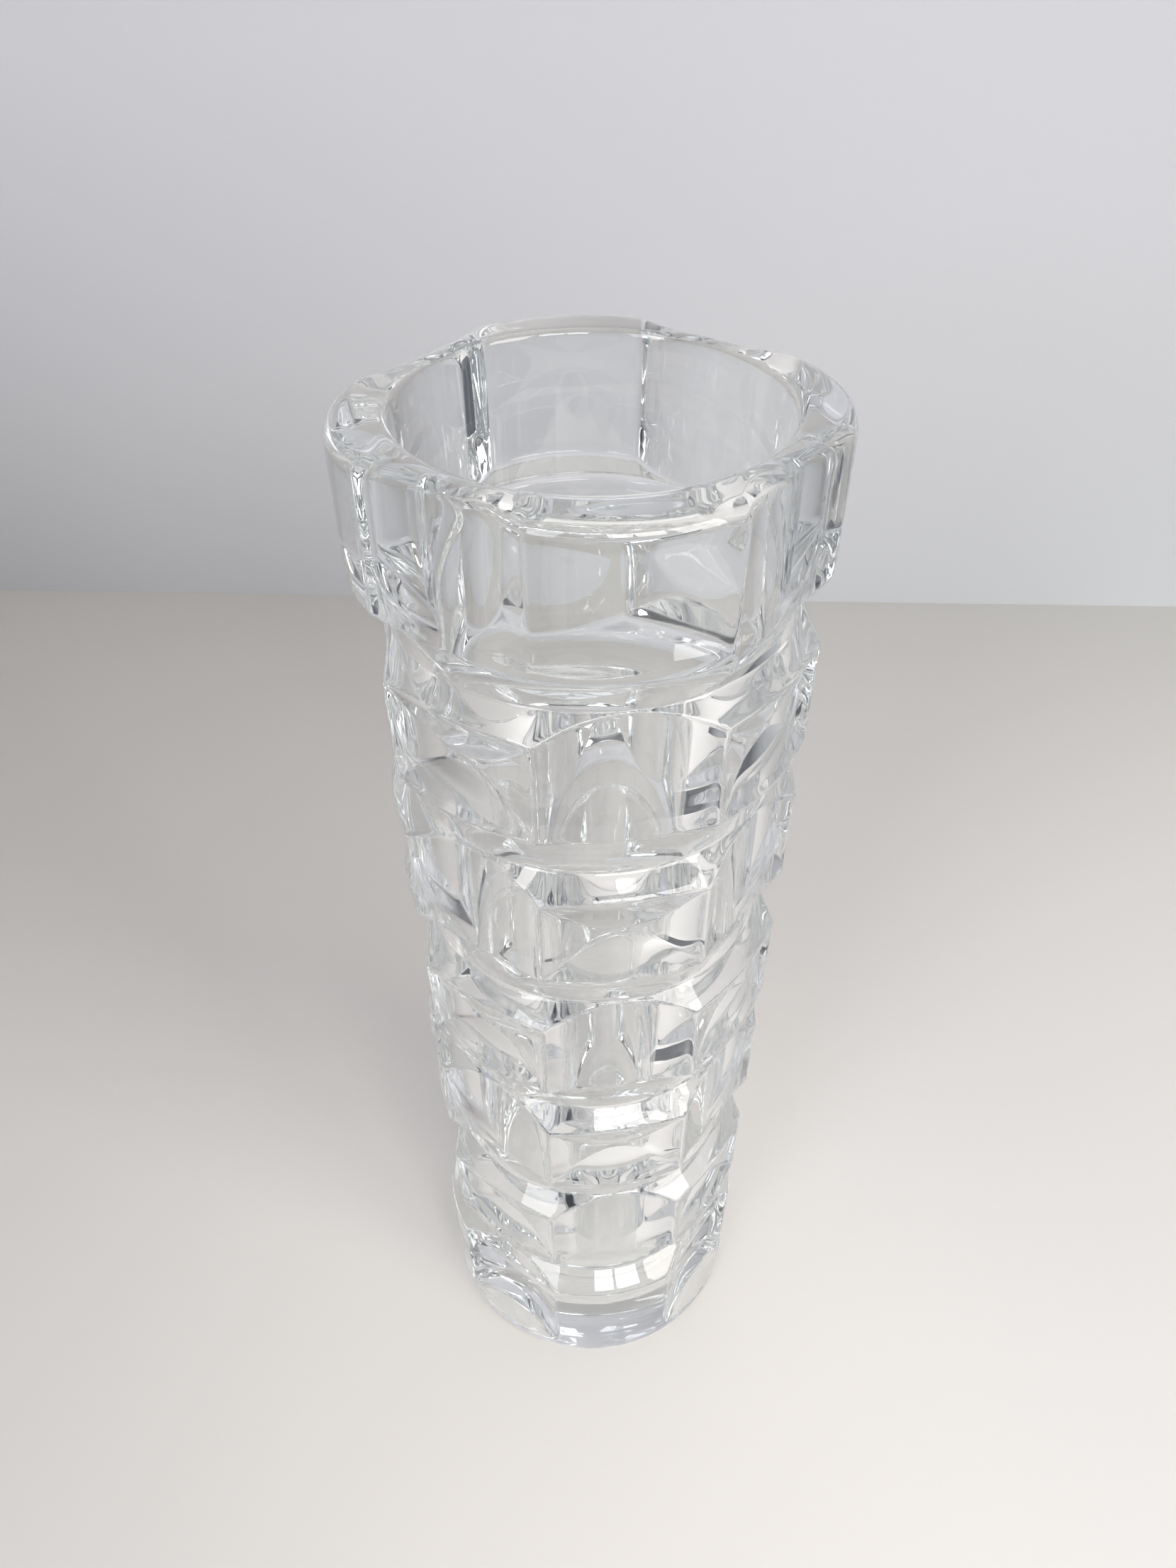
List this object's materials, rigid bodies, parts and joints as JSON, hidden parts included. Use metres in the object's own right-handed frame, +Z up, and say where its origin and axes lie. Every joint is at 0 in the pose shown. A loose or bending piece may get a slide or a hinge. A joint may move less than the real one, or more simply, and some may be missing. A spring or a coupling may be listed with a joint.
{
  "type": "cut crystal vase",
  "caption": "Tall clear crystal vase: slightly flared octagonal column in stacked tiers of alternating scooped and notched panels, deep round bore, rounded lip.",
  "frame": {"origin": "centre of the flat foot, on the surface the vase stands on", "axes": "+Z up along the bore's axis; a panel faces each of +X, -X, +Y and -Y"},
  "size_m": [0.1042, 0.1042, 0.3],
  "materials": {
    "clear_crystal": "clear near-colourless pressed crystal, fire-polished smooth all over"
  },
  "bodies": {
    "root": {"foot_disc": "clear_crystal", "base_tier": "clear_crystal", "panel_tier_1": "clear_crystal", "panel_tier_2": "clear_crystal", "panel_tier_3": "clear_crystal", "panel_tier_4": "clear_crystal", "panel_tier_5": "clear_crystal", "rim_tier": "clear_crystal"}
  },
  "joints": []
}
